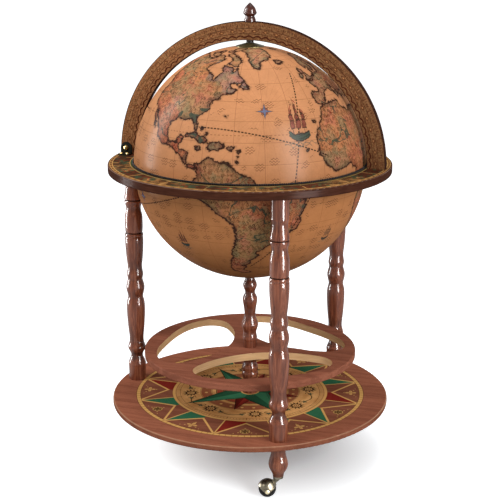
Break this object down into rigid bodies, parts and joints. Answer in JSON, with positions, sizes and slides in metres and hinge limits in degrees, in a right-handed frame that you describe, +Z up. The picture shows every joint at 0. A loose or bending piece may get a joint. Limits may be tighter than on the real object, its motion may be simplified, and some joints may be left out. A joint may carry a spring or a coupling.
{
  "type": "floor globe bar",
  "caption": "Floor globe bar: map globe in a ring on turned legs, upper half tips open with its arch, bottle shelf, round base and ball casters.",
  "frame": {"origin": "on the floor, on the axis of the column", "axes": "+Z up along the column; +X along the arch from its hinge to its free end; -Y towards the front leg's side"},
  "size_m": [0.6179, 0.618, 0.9965],
  "materials": {
    "turned_wood": "red-brown stain under gloss lacquer",
    "base_print": "red-brown board with a printed compass star, satin lacquer",
    "shelf_wood": "red-brown veneer with pale bare wood inside the cut-outs",
    "ring_print": "printed ornamental band on the top, red-brown edge",
    "arch_print": "printed degree scale on both faces, dark edges",
    "globe_print": "antique style map print under satin varnish",
    "tray_wood": "satin stained wood",
    "dark_bronze": "dark bronzed",
    "brass": "aged brass",
    "steel": "zinc plated",
    "black_bush": "matte black",
    "black_braid": "black twisted braid",
    "caster_rubber": "black rubber tread"
  },
  "bodies": {
    "stand": {"base_board": "base_print", "leg_left": "turned_wood", "leg_front": "turned_wood", "leg_rear": "turned_wood", "foot_left": "turned_wood", "foot_front": "turned_wood", "foot_rear": "turned_wood", "leg_studs": "steel", "leg_dowels": "tray_wood", "caster_sockets": "steel", "lower_column": "turned_wood", "bottle_shelf": "shelf_wood", "upper_column": "turned_wood", "tie_rod": "steel", "tie_rod_washers": "steel", "tie_rod_nuts": "steel", "horizon_ring": "ring_print", "lower_bowl": "globe_print", "bottle_floor": "tray_wood", "tray_posts": "tray_wood", "bar_tray": "tray_wood", "hinge_cheek_front": "dark_bronze", "hinge_cheek_rear": "dark_bronze", "hinge_screws": "brass", "hinge_pin": "brass"},
    "lid": {"meridian_arch": "arch_print", "pole_axle": "steel", "pole_bush": "black_bush", "pole_washer": "steel", "pole_nut": "steel", "finial": "turned_wood"},
    "dome": {"upper_dome": "globe_print", "rim_braid": "black_braid", "pole_cap": "brass"},
    "caster_left": {"caster_fork_left": "brass", "caster_axle_left": "brass"},
    "wheel_left": {"caster_tyre_left": "caster_rubber", "caster_hubs_left": "black_bush"},
    "caster_front": {"caster_fork_front": "brass", "caster_axle_front": "brass"},
    "wheel_front": {"caster_tyre_front": "caster_rubber", "caster_hubs_front": "black_bush"},
    "caster_rear": {"caster_fork_rear": "brass", "caster_axle_rear": "brass"},
    "wheel_rear": {"caster_tyre_rear": "caster_rubber", "caster_hubs_rear": "black_bush"}
  },
  "joints": [
    {"name": "lid_hinge", "type": "hinge", "parent": "stand", "child": "lid", "pos_m": [-0.28407, 0, 0.674], "axis": [0, -1, 0], "range_deg": [0, 90]},
    {"name": "dome_spin", "type": "hinge", "parent": "lid", "child": "dome", "pos_m": [0, 0, 0.657], "axis": [0, 0, 1], "continuous": true},
    {"name": "swivel_left", "type": "hinge", "parent": "stand", "child": "caster_left", "pos_m": [-0.275, 0, 0.047], "axis": [0, 0, 1], "continuous": true},
    {"name": "roll_left", "type": "hinge", "parent": "caster_left", "child": "wheel_left", "pos_m": [-0.25386, -0.00769, 0.0185], "axis": [0.342, 0.9397, 0], "continuous": true},
    {"name": "swivel_front", "type": "hinge", "parent": "stand", "child": "caster_front", "pos_m": [0.1375, -0.23816, 0.047], "axis": [0, 0, 1], "continuous": true},
    {"name": "roll_front", "type": "hinge", "parent": "caster_front", "child": "wheel_front", "pos_m": [0.11607, -0.245, 0.0185], "axis": [0.304, -0.9527, 0], "continuous": true},
    {"name": "swivel_rear", "type": "hinge", "parent": "stand", "child": "caster_rear", "pos_m": [0.1375, 0.23816, 0.047], "axis": [0, 0, 1], "continuous": true},
    {"name": "roll_rear", "type": "hinge", "parent": "caster_rear", "child": "wheel_rear", "pos_m": [0.11711, 0.22865, 0.0185], "axis": [0.4226, -0.9063, 0], "continuous": true}
  ]
}
